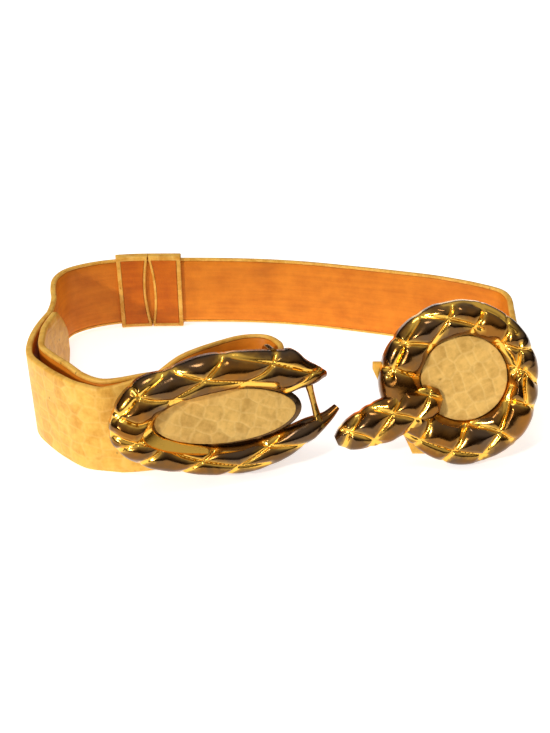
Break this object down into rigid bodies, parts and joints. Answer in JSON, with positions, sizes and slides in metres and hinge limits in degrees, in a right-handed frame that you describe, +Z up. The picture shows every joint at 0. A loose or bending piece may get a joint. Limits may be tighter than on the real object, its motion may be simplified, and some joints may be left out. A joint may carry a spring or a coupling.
{
  "type": "snakeskin belt",
  "caption": "Snakeskin strap belt with orange-tan leather lining and a two-part gold serpent buckle, unhooked and standing on edge as an open loop.",
  "frame": {"origin": "on the ground, under the middle of the belt's box", "axes": "+X from the long buckle to the round buckle, +Y from the buckles to the back of the loop, +Z up"},
  "size_m": [0.23, 0.1744, 0.0654],
  "materials": {
    "snakeskin": "satin snakeskin with faint scales",
    "lining": "smooth satin",
    "gold": "polished gold plating"
  },
  "bodies": {
    "root": {"strap_skin": "snakeskin", "strap_lining": "lining", "keeper_skin": "snakeskin", "keeper_lining_left": "lining", "keeper_lining_right": "lining", "buckle_body": "gold", "buckle_inset": "snakeskin", "ring_body": "gold", "ring_inset": "snakeskin"}
  },
  "joints": []
}
